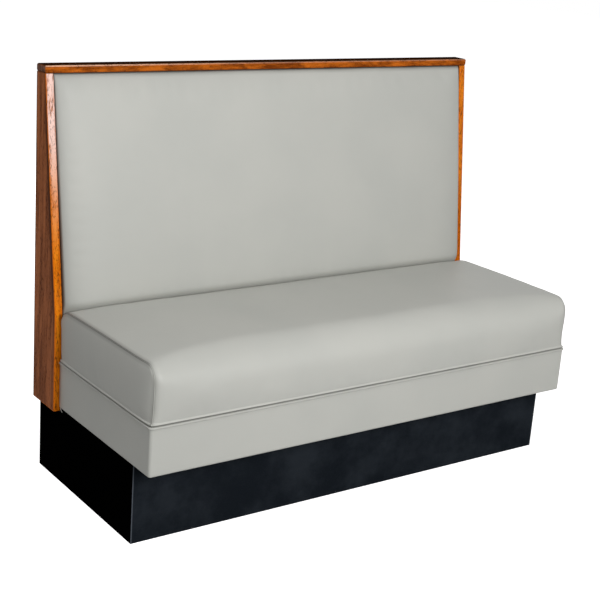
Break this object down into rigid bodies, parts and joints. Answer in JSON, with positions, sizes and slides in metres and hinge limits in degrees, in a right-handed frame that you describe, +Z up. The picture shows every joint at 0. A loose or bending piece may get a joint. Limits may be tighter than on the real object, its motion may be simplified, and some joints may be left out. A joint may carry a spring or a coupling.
{
  "type": "restaurant booth seat",
  "caption": "Single-sided restaurant booth: padded leaning back between tapered wooden end panels under a wooden cap, waterfall-front upholstered seat box on a recessed black plinth.",
  "frame": {"origin": "on the floor, at mid length and mid depth of the whole booth", "axes": "+Z up, +X along the length, -Y towards the front of the seat"},
  "size_m": [1.2228, 0.543, 0.956],
  "materials": {
    "plinth_plywood": "matte",
    "black_laminate": "matte",
    "grey_vinyl": "satin",
    "stained_oak": "satin",
    "foam": "matte",
    "zinc_steel": "satin",
    "black_hardboard": "matte"
  },
  "bodies": {
    "root": {"back_bottom_rail": "plinth_plywood", "back_cover": "grey_vinyl", "back_foam": "foam", "back_middle_rail": "plinth_plywood", "back_plywood": "plinth_plywood", "back_top_rail": "plinth_plywood", "base_corner_blocks": "plinth_plywood", "base_front_board": "plinth_plywood", "base_left_board": "plinth_plywood", "base_left_divider": "plinth_plywood", "base_rear_board": "plinth_plywood", "base_right_board": "plinth_plywood", "base_right_divider": "plinth_plywood", "cap_screws": "zinc_steel", "end_panel_screws": "zinc_steel", "floor_bracket_screws": "zinc_steel", "floor_brackets": "zinc_steel", "joining_plate_screws": "zinc_steel", "joining_plates": "zinc_steel", "kick_laminate_front": "black_laminate", "kick_laminate_left": "black_laminate", "kick_laminate_right": "black_laminate", "left_end_panel": "stained_oak", "left_inner_rib": "plinth_plywood", "left_outer_rib": "plinth_plywood", "rear_panel": "black_hardboard", "rear_panel_screws": "zinc_steel", "right_end_panel": "stained_oak", "right_inner_rib": "plinth_plywood", "right_outer_rib": "plinth_plywood", "riser_cover": "grey_vinyl", "seat_corner_blocks": "plinth_plywood", "seat_deck": "plinth_plywood", "seat_foam": "foam", "seat_front_board": "plinth_plywood", "seat_left_board": "plinth_plywood", "seat_left_boxing": "grey_vinyl", "seat_left_cross_board": "plinth_plywood", "seat_rear_board": "plinth_plywood", "seat_right_board": "plinth_plywood", "seat_right_boxing": "grey_vinyl", "seat_right_cross_board": "plinth_plywood", "seat_top_cover": "grey_vinyl", "top_cap": "stained_oak"}
  },
  "joints": []
}
